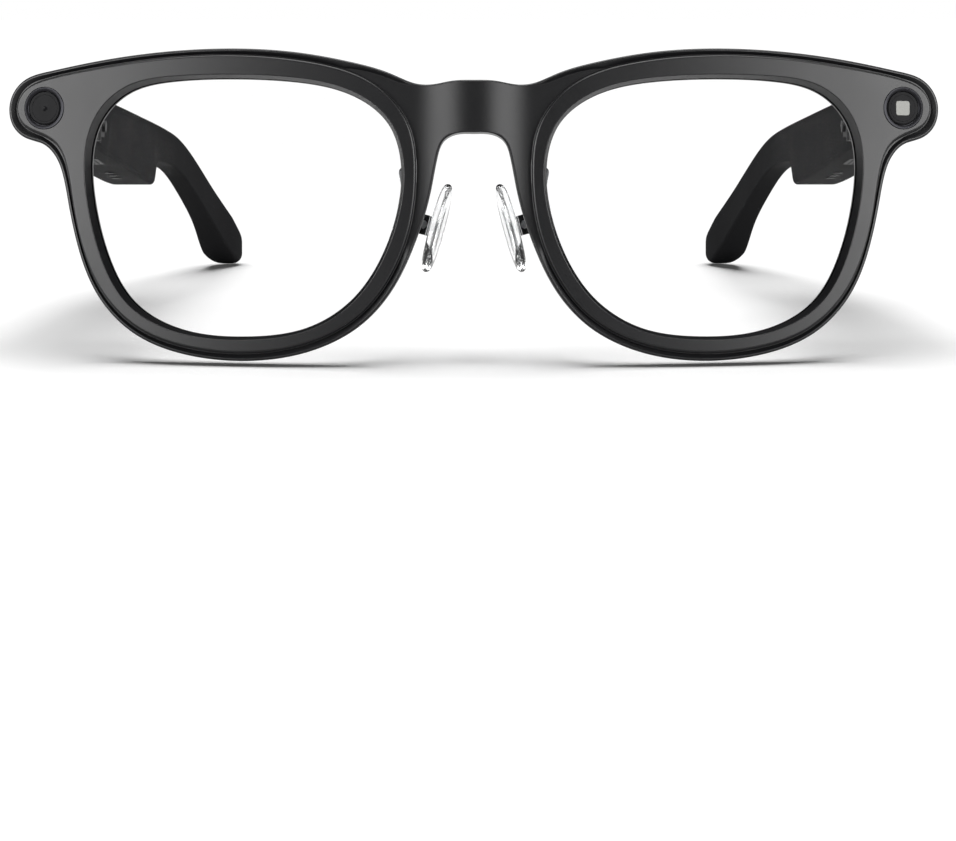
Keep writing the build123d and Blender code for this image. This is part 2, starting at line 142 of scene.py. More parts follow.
def curveThrough(points, closed=False):
    # Cubic spline through the points with the chord length as its parameter, ends free or joined.
    p = np.asarray(points, float)
    p = np.vstack([p, p[:1]]) if closed else p
    h = np.linalg.norm(np.diff(p, axis=0), axis=1)
    slope = np.diff(p, axis=0) / h[:, None]
    a, b, i = np.zeros((len(p), len(p))), np.zeros_like(p), np.arange(1, len(p) - 1)
    a[i, i - 1], a[i, i], a[i, i + 1] = h[:-1], 2 * (h[:-1] + h[1:]), h[1:]
    b[i] = 6 * np.diff(slope, axis=0)
    a[0, 0] = a[-1, -1] = 1
    if closed:
        a[0, -1] = -1
        a[-1, 0], a[-1, 1], a[-1, -2], a[-1, -1] = 2 * h[0], h[0], h[-1], 2 * h[-1]
        b[-1] = 6 * (slope[0] - slope[-1])
    return p, np.concatenate([[0], np.cumsum(h)]), h, np.linalg.solve(a, b)


def onCurve(curve, t):
    # Places and directions on a spline at parameters t.
    p, knots, h, bend = curve
    i = np.clip(np.searchsorted(knots, t, side="right") - 1, 0, len(h) - 1)
    step = h[i][:, None]
    b = (t - knots[i])[:, None] / step
    a = 1 - b
    place = a * p[i] + b * p[i + 1] + ((a**3 - a) * bend[i] + (b**3 - b) * bend[i + 1]) * step**2 / 6
    way = (p[i + 1] - p[i]) / step + ((3 * b**2 - 1) * bend[i + 1] - (3 * a**2 - 1) * bend[i]) * step / 6
    return place, way / np.linalg.norm(way, axis=1)[:, None]


def nearestOn(curve, point):
    t = np.linspace(0, curve[1][-1], 4000)
    return t[np.argmin(np.linalg.norm(onCurve(curve, t)[0] - point, axis=1))]


def quarter(count):
    # sin and cos of even steps over a quarter turn.
    turn = np.linspace(0, math.pi / 2, count)
    return list(zip(np.sin(turn), np.cos(turn)))


# Materials. Each is a noise of real size that drives colour, roughness and a fine bump.

smudgeMm = 9.0  # size of the broad, faint changes in gloss that handling leaves

def linear(hexColour):
    c = np.array([int(hexColour[i:i + 2], 16) for i in (1, 3, 5)]) / 255
    return (*np.where(c <= 0.04045, c / 12.92, ((c + 0.055) / 1.055)**2.4).tolist(), 1.0)


def addNode(tree, kind, settings=None, links=None):
    node = tree.nodes.new(kind)
    for key, value in (settings or {}).items():
        if hasattr(node, str(key)):
            setattr(node, key, value)
        else:
            node.inputs[key].default_value = value
    for key, source in (links or {}).items():
        tree.links.new(source, node.inputs[key])
    return node


def finish(name, dark, light, grainMm, rough, bump=0.0, stretch=(1, 1, 1), detail=2.0, **fixed):
    # Principled surface: noise grains of grainMm, stretched along an axis where the real surface
    # is brushed or turned, run the colour from dark to light and the roughness over its range.
    material = bpy.data.materials.new(name)
    material.use_nodes = True
    tree = material.node_tree
    tree.nodes.clear()
    place = addNode(tree, "ShaderNodeTexCoord")
    spread = addNode(tree, "ShaderNodeMapping", {"Scale": stretch}, {"Vector": place.outputs["Object"]})
    grain = addNode(tree, "ShaderNodeTexNoise",
                    {"Scale": 1000 / grainMm, "Detail": detail, "Roughness": 0.55},
                    {"Vector": spread.outputs[0]})
    tone = addNode(tree, "ShaderNodeValToRGB", links={"Fac": grain.outputs["Fac"]})
    tone.color_ramp.elements[0].position, tone.color_ramp.elements[1].position = 0.3, 0.7
    tone.color_ramp.elements[0].color, tone.color_ramp.elements[1].color = linear(dark), linear(light)
    smudge = addNode(tree, "ShaderNodeTexNoise", {"Scale": 1000 / smudgeMm, "Detail": 3.0},
                     {"Vector": place.outputs["Object"]})
    both = addNode(tree, "ShaderNodeMath", {"operation": "ADD"},
                   {0: grain.outputs["Fac"], 1: smudge.outputs["Fac"]})
    gloss = addNode(tree, "ShaderNodeMapRange", {"From Min": 0.6, "From Max": 1.4, "To Min": rough[0],
                                                 "To Max": rough[1]}, {"Value": both.outputs[0]})
    surface = addNode(tree, "ShaderNodeBsdfPrincipled", fixed,
                      {"Base Color": tone.outputs[0], "Roughness": gloss.outputs[0]})
    if bump:
        relief = addNode(tree, "ShaderNodeBump", {"Strength": 1.0, "Distance": bump / 1000},
                         {"Height": grain.outputs["Fac"]})
        tree.links.new(relief.outputs[0], surface.inputs["Normal"])
    addNode(tree, "ShaderNodeOutputMaterial", links={"Surface": surface.outputs[0]})
    return material


# Glass-filled nylon from a spark-eroded mould: near black, satin, with a grain the eye just sees.
nylonFront = finish("moulded nylon, satin black", "#040405", "#070708", 0.22, (0.33, 0.39), 0.0012,
                    **{"Specular IOR Level": 0.24})
# The same nylon with a slightly coarser mould finish, which takes less of the light.
nylonTemple = finish("moulded nylon, matt black", "#0e0e0f", "#131314", 0.26, (0.62, 0.72), 0.0018,
                     **{"Specular IOR Level": 0.03})
# Hard-coated polycarbonate: almost nothing but a faint reflection.
lensPlastic = finish("coated polycarbonate, clear", "#08090a", "#0b0c0d", 12.0, (0.02, 0.04), Alpha=0.02,
                     IOR=1.58, **{"Specular IOR Level": 0.12})
# Tinted cover glass, polished: black with a sharp reflection.
tintedGlass = finish("polished tinted glass", "#0b0b0c", "#101011", 3.0, (0.05, 0.09),
                     **{"Specular IOR Level": 0.02})
# Anodised aluminium ring turned on a lathe: dull grey with a fine turned line.
turnedRing = finish("anodised aluminium, turned", "#1a1a1c", "#222224", 0.15, (0.32, 0.42), 0.0006,
                    Metallic=1.0)
# Polycarbonate light diffuser behind the tinted glass: flat grey with an olive cast.
diffuser = finish("diffuser polycarbonate, moulded", "#3f3f3a", "#494943", 0.4, (0.35, 0.45), 0.001)
# Clear silicone rubber, moulded: it bends what is behind it, so its rims go dark.
silicone = finish("silicone rubber, moulded clear", "#f7f8f9", "#ffffff", 1.5, (0.02, 0.06), 0.0006,
                  IOR=1.41, **{"Transmission Weight": 1.0})
# Clear polycarbonate plate inside each pad, which the clip holds.
padPlate = finish("polycarbonate, moulded clear", "#d8dadb", "#e4e6e7", 1.5, (0.1, 0.16), Alpha=0.12)
# Stainless steel wire, drawn and bent: lines run along it.
drawnSteel = finish("stainless steel, drawn", "#5c5d5f", "#737476", 0.12, (0.14, 0.24), 0.0006,
                    Metallic=1.0)
# Stainless steel hinge parts, tumbled: an even soft grey shine.
tumbledSteel = finish("stainless steel, tumbled", "#7f8082", "#9a9b9d", 0.2, (0.28, 0.4), 0.001,
                      Metallic=1.0)
# Hinge parts in black oxide: nearly as dark as the plastic.
blackHinge = finish("stainless steel, black oxide", "#0e0e0f", "#141415", 0.2, (0.5, 0.62), 0.001,
                    Metallic=0.4)
# Zinc-plated screws in black: dark metal with a worn sheen.
blackScrew = finish("zinc-plated steel, black", "#0f0f10", "#161617", 0.15, (0.45, 0.55), 0.0006,
                    Metallic=0.5)
# Black nickel plating on the charging studs: a dark, warm sheen.
blackNickel = finish("black nickel plate, burnished", "#121111", "#1a1919", 0.3, (0.4, 0.5), 0.0004,
                     Metallic=0.6)
# Stainless plate over the speaker, etched and blackened: only its holes show.
etchedPlate = finish("stainless steel, etched black", "#0e0e0f", "#151516", 0.15, (0.5, 0.6), 0.0008,
                     Metallic=0.4)
# Circuit board under solder mask: deep green with darker tracks.
solderMask = finish("circuit board, solder mask", "#0f3a22", "#1c5532", 0.8, (0.25, 0.4), 0.004)
# Moulded epoxy packages: dull dark grey.
epoxy = finish("epoxy moulding, matt black", "#191919", "#242424", 0.3, (0.5, 0.65), 0.003)
# Aluminium-laminated foil round the battery cell: bright and slightly creased.
foil = finish("laminated aluminium foil, drawn", "#b5b6b8", "#c9cacc", 2.0, (0.25, 0.4), 0.01, Metallic=1.0)
# Polyimide film of the flat cable: amber.
polyimide = finish("polyimide film, laminated", "#8a4a12", "#a55d1c", 1.2, (0.25, 0.35), 0.002)
print("materials made")

# Front. Half outlines (x, z) from the middle of the bridge round the lug to the arch.
rim = dict(
    planRadius=300.0, depth=4.36, step=1.0, grooveFront=1.9, grooveRear=3.5, grooveDepth=0.8,
    eyeEdge=0.12, eyeFlare=0.42, lugFlare=0.3, lugFlareFrom=(44.0, 58.0), plateauEdge=0.36, footGap=0.03,
    footRound=0.14, bead=0.42, beadRun=1.0, beadFrom=(9.0, 12.0), outerEdge=0.34, rearEdge=0.35,
    support=0.07, bridgeFlat=0.3, bridgeFoot=9.4, bridgeRise=1.5, sampleMm=0.42)
outlineHalf = [
    (0, 19.9), (3.4, 19.8), (6.6, 19.3), (9.2, 19.5), (13.0, 21.0), (19.0, 22.8), (27.5, 24.4),
    (38.5, 25.15), (50.0, 24.7), (61.0, 23.3), (68.0, 22.0), (71.9, 20.75), (74.0, 18.4),
    (74.55, 15.8), (73.8, 13.2), (71.7, 11.4), (68.9, 10.45), (66.9, 8.6), (65.5, 5.2),
    (64.7, 1.2), (63.3, -5.2), (60.2, -13.1), (54.0, -19.7), (45.0, -23.2), (36.0, -24.05),
    (26.0, -22.6), (18.0, -18.6), (12.9, -13.0), (9.4, -5.9), (6.9, 2.0), (5.7, 8.0),
    (4.6, 10.6), (2.6, 11.6), (0, 11.7)]
outlineRun = ([(-x, z) for x, z in outlineHalf[3:0:-1]] + outlineHalf
              + [(-x, z) for x, z in outlineHalf[-2:-5:-1]])  # a little past the middle at both ends
openingLine = [
    (28.0, 19.95), (38.5, 20.55), (48.0, 20.25), (55.0, 18.5), (59.6, 13.8), (61.1, 7.0),
    (60.6, 1.0), (58.5, -7.2), (54.2, -14.7), (46.5, -19.1), (36.0, -20.25), (26.0, -18.7),
    (19.0, -14.2), (14.4, -7.4), (11.8, 0.8), (11.5, 7.2), (13.6, 13.4), (19.0, 17.7)]
plateauLine = [
    (26.0, 22.9), (38.5, 24.05), (50.0, 23.6), (61.0, 22.15), (68.0, 20.8), (71.6, 19.2),
    (73.1, 16.2), (72.0, 13.5), (69.2, 12.0), (66.6, 10.4), (64.8, 6.6), (63.9, 1.4),
    (62.5, -5.2), (59.3, -12.7), (53.3, -18.8), (44.8, -21.95), (36.0, -22.75), (26.4, -21.3),
    (18.2, -17.0), (12.8, -10.2), (9.9, -2.4), (9.1, 5.4), (10.1, 12.6), (15.0, 18.9)]
# Places that belong together on the eye opening, the plateau's edge and the outline.
ringMatches = [
    ((14.1, 14.0), (12.6, 16.4), (0, 19.9)), ((17.0, 16.6), (15.0, 18.9), (9.2, 19.5)),
    ((22.0, 18.9), (20.5, 21.3), (19.5, 22.9)), ((38.5, 20.55), (38.5, 24.05), (38.5, 25.15)),
    ((55.5, 18.2), (66.0, 21.2), (66.5, 22.3)), ((59.0, 14.9), (73.1, 16.2), (74.55, 15.8)),
    ((60.7, 10.0), (68.5, 11.7), (68.3, 10.2)), ((60.6, 1.0), (63.9, 1.4), (64.7, 1.2)),
    ((50.9, -17.2), (53.3, -18.8), (54.0, -19.7)), ((36.0, -20.25), (36.0, -22.75), (36.0, -24.05)),
    ((20.2, -15.5), (18.9, -17.6), (18.0, -18.6)), ((13.4, -4.8), (11.0, -5.6), (9.6, -6.4)),
    ((11.5, 6.2), (9.1, 5.4), (5.9, 7.2)), ((12.2, 10.8), (9.7, 11.0), (0, 11.7))]


def planY(x, depth):
    # Depth below the foremost surface as Y: concentric circles of the plan radius.
    return rim["planRadius"] - np.sqrt((rim["planRadius"] - depth)**2 - x**2)


def bridgeDepth(x):
    # Depth of the base: a cosine flank lifts it to the bridge's flat top.
    s = np.clip((rim["bridgeFoot"] - np.abs(x)) / (rim["bridgeFoot"] - rim["bridgeFlat"]), 0, 1)
    return rim["step"] - rim["bridgeRise"] * (1 - np.cos(math.pi * s)) / 2


def bead(place):
    # Rise of the base towards the outline, which leaves a channel round the plateau: none on the bridge.
    low, high = rim["beadFrom"]
    s = np.clip((np.abs(place[:, 0]) - low) / (high - low), 0, 1)
    return rim["bead"] * s * s * (3 - 2 * s)


def matchedRings():
    # The three curves sampled at matching places, with outward normals, and which samples of the
    # outermost one lie on the outline and which on the middle line.
    curves = [curveThrough(openingLine, True), curveThrough(plateauLine, True), curveThrough(outlineRun)]
    marks = np.array([[nearestOn(c, p) for c, p in zip(curves, match)] for match in ringMatches])
    marks[0, 2], marks[-1, 2] = curves[2][1][[3, -4]]
    lengths = np.array([c[1][-1] for c in curves[:2]])
    spots, outer = [[], []], []
    for i in range(len(marks)):
        low, high = marks[i], marks[(i + 1) % len(marks)].copy()
        high[:2] += lengths * (high[:2] < low[:2])
        middle = i == len(marks) - 1
        span = outlineHalf[0][1] - outlineHalf[-1][1] if middle else high[2] - low[2]
        count = max(4, int(round(max(span, high[1] - low[1]) / rim["sampleMm"])))
        t = np.arange(count) / count
        for k in range(2):
            spots[k].append((low[k] + (high[k] - low[k]) * t) % lengths[k])
        outer.append(np.full(count, np.nan) if middle else low[2] + (high[2] - low[2]) * t)
    outer = np.concatenate(outer)
    first = np.argmax(np.isnan(outer))
    outer[first] = marks[-1, 2]  # the arch's middle is the outline's last sample
    rings = []
    for curve, spot in zip(curves, (np.concatenate(spots[0]), np.concatenate(spots[1]), outer)):
        onLine = ~np.isnan(spot)
        place, way = onCurve(curve, np.where(onLine, spot, 0))
        rings.append((place, np.stack([-way[:, 1], way[:, 0]], -1)))
    edge, edgeOut = rings[2]
    share = (np.arange(len(outer)) - first) / (len(outer) - first)
    return rings, ~np.isnan(outer), np.where(share > 0, share, 0)


def rimHalf():
    # A closed grid: round the eye by the section's rows, from the eye opening over the plateau,
    # its rounded edge, the step, the base and the outline to the back and through the lens groove.
    r = rim
    ((eye, eyeOut), (top, topOut), (edge, edgeOut)), onOutline, share = matchedRings()
    rows, depths, wallRow = [], [], []
    upper, lower = outlineHalf[0][1], outlineHalf[-1][1]

    def add(place, depth, wall=False):
        rows.append(place)
        depths.append(np.broadcast_to(depth, len(place)).astype(float))
        wallRow.append(wall)

    def outer(inset, sideways=0.0):
        # The outline moved in by inset. On the middle line, sideways is the distance from it.
        place = edge - edgeOut * np.asarray(inset).reshape(-1, 1)
        inset = np.broadcast_to(inset, len(edge))
        height = (lower + inset) + (upper - lower - 2 * inset) * share
        place = np.where(onOutline[:, None], place, np.stack([np.full(len(edge), sideways), height], -1))
        place[:, 0] = np.maximum(place[:, 0], sideways)
        return place

    inLug = np.clip((edge[:, 0] - 61.8) / 1.0, 0, 1) * np.clip((edge[:, 1] - 8.4) / 0.8, 0, 1)
    rearEdge = np.maximum(r["rearEdge"] * (1 - inLug), 0.01)
    low, high = r["lugFlareFrom"]
    flare = r["eyeFlare"] + r["lugFlare"] * np.clip((eye[:, 0] - low) / (high - low), 0, 1)[:, None]
    for s, c in quarter(4):
        add(eye + eyeOut * (flare + r["eyeEdge"] * (1 - c)), r["eyeEdge"] * (1 - s))
    near = eye + eyeOut * (flare + r["eyeEdge"] + r["support"])
    far = top - topOut * (r["plateauEdge"] + r["support"])
    for t in np.linspace(0, 1, 10):
        add(near + (far - near) * t, 0)
    for s, c in quarter(6):
        add(top - topOut * r["plateauEdge"] * (1 - s), r["plateauEdge"] * (1 - c))
    for s, c in quarter(3):
        add(top + topOut * (r["footGap"] + r["footRound"] * (1 - c)), r["step"] - r["footRound"] * (1 - s))
    near = top + topOut * (r["footGap"] + r["footRound"] + 0.05)
    far = outer(r["outerEdge"] + r["support"], r["support"])
    away = np.linalg.norm(far - near, axis=1)
    for t in np.linspace(0, 1, 20):
        base = near + (far - near) * t
        run = np.minimum(away, r["beadRun"])
        add(base, bridgeDepth(base[:, 0]) - bead(far) * np.clip(1 - (1 - t) * away / run, 0, 1))
    for s, c in quarter(6):
        base = outer(r["outerEdge"] * (1 - s))
        add(base, bridgeDepth(base[:, 0]) - bead(far) + r["outerEdge"] * (1 - c), wall=s > 0)
    base = outer(0.0)
    add(base, bridgeDepth(base[:, 0]) - bead(far) + r["outerEdge"] + r["support"], wall=True)
    add(base, r["depth"] - rearEdge - r["support"], wall=True)
    for s, c in quarter(5):
        add(outer(rearEdge * (1 - c)), r["depth"] - rearEdge * (1 - s), wall=s < 1)
    near, far = outer(rearEdge + r["support"], r["support"]), eye + eyeOut * (r["eyeEdge"] + r["support"])
    for t in np.linspace(0, 1, 12):
        add(near + (far - near) * t, r["depth"])
    for s, c in quarter(4):
        add(eye + eyeOut * r["eyeEdge"] * (1 - s), r["depth"] - r["eyeEdge"] * (1 - c))
    for out, depth in ((0, r["grooveRear"]), (r["grooveDepth"], r["grooveRear"]),
                       (r["grooveDepth"], r["grooveFront"]), (0, r["grooveFront"])):
        add(eye + eyeOut * out, depth)
    place, depth = np.array(rows), np.array(depths)
    points = np.stack([place[..., 0], planY(place[..., 0], depth), place[..., 1]], -1)
    faces = gridFaces(len(rows), len(edge), True, True)
    r0, c0 = faces[:, 0] // len(edge), faces[:, 0] % len(edge)
    walls = np.array(wallRow)
    onMiddle = ~(onOutline & np.roll(onOutline, -1))
    touched = walls[r0] | walls[(r0 + 1) % len(rows)]
    return points.reshape(-1, 3), faces[~(touched & onMiddle[c0])]


lug = dict(inner=61.95, low=8.6, frontDepth=2.7, rear=16.5, recessY=15.9, recessX=64.4,
           taper=((10.5, 74.6), (16.6, 72.0)), rearRound=0.5, centre=(68.0, 15.5))


def lugBlock():
    # The outline's end from the inner wall round, closed below, carried back with its outside
    # tapered towards the temple and its rear edge rounded.
    outline = curveThrough(outlineRun)
    t0, t1 = nearestOn(outline, (lug["inner"], 23.15)), nearestOn(outline, (66.9, lug["low"]))
    round_, way = onCurve(outline, np.linspace(t0, t1, 110))
    round_ = round_ - np.stack([-way[:, 1], way[:, 0]], -1) * 0.01
    low = np.linspace(round_[-1, 0], lug["inner"], 14)[1:]
    high = np.linspace(lug["low"], round_[0, 1], 30)[1:-1]
    loop = np.vstack([round_, np.stack([low, np.full(13, lug["low"])], -1),
                      np.stack([np.full(28, lug["inner"]), high], -1)])
    midX, midZ = lug["centre"]
    (y0, x0), (y1, x1) = lug["taper"]

    def section(y, inset, xMin):
        limit = x0 + (x1 - x0) * (y - y0) / (y1 - y0)
        x = np.clip(loop[:, 0], xMin + inset, limit - inset)
        z = np.clip(loop[:, 1], lug["low"] + inset, None)
        shrink = 1 - inset / 9.0
        z = midZ + (z - midZ) * shrink
        return np.stack([x, np.full(len(x), y), z], -1)

    rows = [section(y, 0, lug["inner"]) for y in np.linspace(15.0, lug["recessY"], 4)]
    first = rows[0].copy()
    first[:, 1] = planY(first[:, 0], lug["frontDepth"])
    rows = [first + (rows[0] - first) * t for t in np.linspace(0, 1, 6)[:-1]] + rows
    rows.append(section(lug["recessY"], 0, lug["recessX"]))
    edge = lug["rearRound"]
    for s, c in quarter(5):
        rows.append(section(lug["rear"] - edge * (1 - s), edge * (1 - c), lug["recessX"]))
    middle = [np.array([[midX, y, midZ]]).repeat(len(loop), 0)
              for y in (planY(midX, lug["frontDepth"]), lug["rear"])]
    rows = np.array([middle[0], *rows, middle[1]])
    return rows.reshape(-1, 3), gridFaces(len(rows), len(loop), closedColumns=True)


# Window in each lug: bore, grey ring and dark glass, all turned round one axis.
window = dict(x=68.5, z=16.1, bore=3.41, ringOuter=3.33, ringInner=2.72, glass=2.66, boreDepth=1.0,
              domeRadius=0.36, domeHeight=0.07)
windowTurn = math.asin(window["x"] / rim["planRadius"])
windowOut = np.array([math.sin(windowTurn), -math.cos(windowTurn), 0])
windowSide = np.array([math.cos(windowTurn), math.sin(windowTurn), 0])
windowAt = np.array([window["x"], rim["planRadius"] * (1 - math.cos(windowTurn)), window["z"]])


def turned(profile, at, out, side, count=96):
    # A profile of (radius, height) turned round the axis out through at.
    up = np.cross(out, side)
    angle = np.linspace(0, 2 * math.pi, count, endpoint=False)
    ring = np.cos(angle)[:, None] * side + np.sin(angle)[:, None] * up
    points = np.array([at + radius * ring + height * np.asarray(out) for radius, height in profile])
    return points.reshape(-1, 3), gridFaces(len(profile), count, closedColumns=True)


def windowPart(profile, count=96):
    return turned(profile, windowAt, windowOut, windowSide, count)


def roundedLoop(corners, radius, stepMm=0.8):
    # A closed loop of straight runs in short steps, each corner an arc by a quadratic curve.
    corners = np.asarray(corners, float)
    loop = []
    for before, corner, after in zip(np.roll(corners, 1, 0), corners, np.roll(corners, -1, 0)):
        into, away = before - corner, after - corner
        start = corner + into / np.linalg.norm(into) * radius
        end = corner + away / np.linalg.norm(away) * radius
        t = np.linspace(0, 1, 8)[:, None]
        loop.append((1 - t)**2 * start + 2 * t * (1 - t) * corner + t**2 * end)
        far = after - away / np.linalg.norm(away) * radius
        count = max(2, int(np.linalg.norm(far - end) / stepMm))
        loop.append(end + (far - end) * (np.arange(1, count) / count)[:, None])
    return np.vstack(loop)


def patch(loop, surface, rise, edge, sunk=0.3):
    # A plate on a surface: its loop's wall, a rounded edge, then rings that close at the middle.
    way = np.roll(loop, -1, 0) - np.roll(loop, 1, 0)
    way /= np.linalg.norm(way, axis=1)[:, None]
    inward = np.stack([-way[:, 1], way[:, 0]], -1)
    middle = loop.mean(0)
    if ((middle - loop) * inward).sum() < 0:
        inward = -inward
    rows = [surface(*(middle + (loop - middle) * s).T, -sunk) for s in (0, 0.5)] + [surface(*loop.T, -sunk)]
    rows += [surface(*(loop + inward * edge * (1 - c)).T, rise - edge * (1 - s)) for s, c in quarter(4)]
    inner = loop + inward * (edge + 0.05)
    rows += [surface(*(middle + (inner - middle) * s).T, rise) for s in (1, 0.85, 0.6, 0.35, 0.15, 0)]
    rows = np.array(rows)
    return rows.reshape(-1, 3), gridFaces(len(rows), len(loop), closedColumns=True)


def onWindow(a, b, height):
    # Places on the plane of the window.
    a, b = np.asarray(a)[:, None], np.asarray(b)[:, None]
    return windowAt + a * windowSide + b * np.array([0, 0, 1.0]) + height * windowOut


bore = windowPart([(0, -window["boreDepth"]), (window["bore"], -window["boreDepth"]), (window["bore"], 0.4),
                   (0, 0.4)], 72)
half = rimHalf()
block = lugBlock()
front = newPiece("front_frame_shell", joined([half, mirrored(half)]), "front", nylonFront,
                 ["front_frame"], add=joined([block, mirrored(block)]), cut=joined([bore, mirrored(bore)]))
print("front made:", len(front.data.polygons), "faces")

w = window
ringProfile = [(w["ringOuter"], -0.9), (w["ringOuter"], -0.02), (w["ringOuter"] - 0.05, 0.03),
               (w["ringOuter"] - 0.12, 0.04), (w["ringInner"] + 0.16, -0.1), (w["ringInner"] + 0.06, -0.13),
               (w["ringInner"], -0.2), (w["ringInner"], -0.9), (w["ringOuter"], -0.9)]
glassProfile = [(0, -0.8), (w["glass"], -0.8), (w["glass"], -0.26), (w["glass"] - 0.04, -0.22),
                (w["glass"] - 0.1, -0.2), (2.2, -0.2), (2.17, -0.23), (2.1, -0.23), (2.07, -0.2)]
# The camera's glass is domed over its lens, the light's is flat.
flatMiddle = [(1.0, -0.2), (0, -0.2)]
domeMiddle = [(w["domeRadius"] * r, -0.2 + w["domeHeight"] * math.cos(math.pi / 2 * min(r, 1)))
              for r in (2.4, 0.98, 0.9, 0.75, 0.6, 0.45, 0.3, 0.15, 0)]
for stem, flip, middle in (("led", asDrawn, flatMiddle), ("camera", mirrored, domeMiddle)):
    newPiece(f"{stem}_bezel_ring", flip(windowPart(ringProfile)), "front", turnedRing,
             [f"{stem}_bezel"])
    newPiece(f"{stem}_window_glass", flip(windowPart(glassProfile + middle)), "front", tintedGlass,
             [f"{stem}_window"])

lightSquare = roundedLoop([(-1.15, -1.15), (1.15, -1.15), (1.15, 1.15), (-1.15, 1.15)], 0.45, 0.4)
newPiece("led_diffuser", patch(lightSquare, onWindow, -0.17, 0.02, 0.4), "front", diffuser,
         [])

# Lenses: the opening's outline grown into the groove, as rings that close at the middle.
lens = dict(grow=0.75, front=1.95, rear=3.45, bevel=0.5, middle=(36.5, 1.0))


def lensPart():
    curve = curveThrough(openingLine, True)
    spot, way = onCurve(curve, np.linspace(0, curve[1][-1], 240, endpoint=False))
    out = np.stack([-way[:, 1], way[:, 0]], -1)
    edge, middle = spot + out * lens["grow"], np.array(lens["middle"])
    inner = spot - out * 0.1
    rows = []
    for depth, shares in ((lens["front"], np.linspace(0, 1, 14)), (lens["rear"], np.linspace(1, 0, 14))):
        rows += [(middle + (inner - middle) * s, depth) for s in shares]
        if depth == lens["front"]:
            rows += [(edge, lens["front"] + lens["bevel"]), (edge, lens["rear"] - lens["bevel"])]
    points = np.array([np.stack([p[:, 0], planY(p[:, 0], d), p[:, 1]], -1) for p, d in rows])
    return points.reshape(-1, 3), gridFaces(len(rows), len(spot), closedColumns=True)


for side, flip in sides:
    newPiece(f"lens_{side}_slab", flip(lensPart()), "front", lensPlastic, [f"lens_{side}"])
print("lenses made")

# Temples. Side view (y, z) once round from the top at the hinge over the tip, and the plan (x, y).
temple = dict(front=16.9, end=152.28, boxCorner=2.2, armCorner=0.5, innerCorner=0.5, tipCorner=2.8,
              slimFrom=84.0, tipFrom=143.0, change=8.0, endFrom=147.2, frontEdge=0.5)
sideRun = [(16.9, 19.4), (60, 19.5), (86, 19.1), (97, 18.6), (106, 17.8), (114, 16.1), (122, 13.25),
           (131, 9.2), (140, 4.5), (148, -0.2), (152.3, -3.6), (150.6, -7.2), (146.0, -6.9),
           (137, -1.6), (125, 4.8), (114, 9.3), (106, 11.3), (98, 12.0)]
boxUnder = [(16.9, 11.2), (83.2, 7.0), (85.6, 7.9), (86.4, 10.8), (90, 12.0), (98, 12.0)]
insideRun = [(63.0, 16.9), (62.6, 48), (62.0, 80), (61.1, 94), (59.4, 112), (57.0, 127), (53.9, 140),
             (51.3, 148.5), (50.8, 152.4)]
outsideRun = [(72.0, 16.9), (72.2, 48), (72.0, 74), (70.2, 86.6), (66.4, 96), (64.2, 106), (62.3, 120),
              (60.4, 134), (58.6, 147), (56.6, 152.4)]


def templeLimits(y):
    # Top, underside, inside and outside at each y, read from the side view and the plan.
    curve = curveThrough(sideRun)
    run = onCurve(curve, np.linspace(0, curve[1][-1], 6000))[0]
    tip = np.argmax(run[:, 0])
    top = np.interp(y, run[:tip, 0], run[:tip, 1])
    tail = run[:tip:-1]
    order = np.argsort(tail[:, 0])
    under = np.interp(y, tail[order, 0], tail[order, 1])
    corners = np.array(boxUnder)
    near = np.interp(y[:, None] + np.linspace(-1.1, 1.1, 41), corners[:, 0], corners[:, 1]).mean(1)
    near = np.where(y < 80, np.interp(y, corners[:, 0], corners[:, 1]), near)
    under = np.where(y < 97.5, near, under)
    walls = []
    for points in (insideRun, outsideRun):
        curve = curveThrough(points)
        run = onCurve(curve, np.linspace(0, curve[1][-1], 3000))[0]
        walls.append(np.interp(y, run[:, 1], run[:, 0]))
    return top, under, walls[0], walls[1]


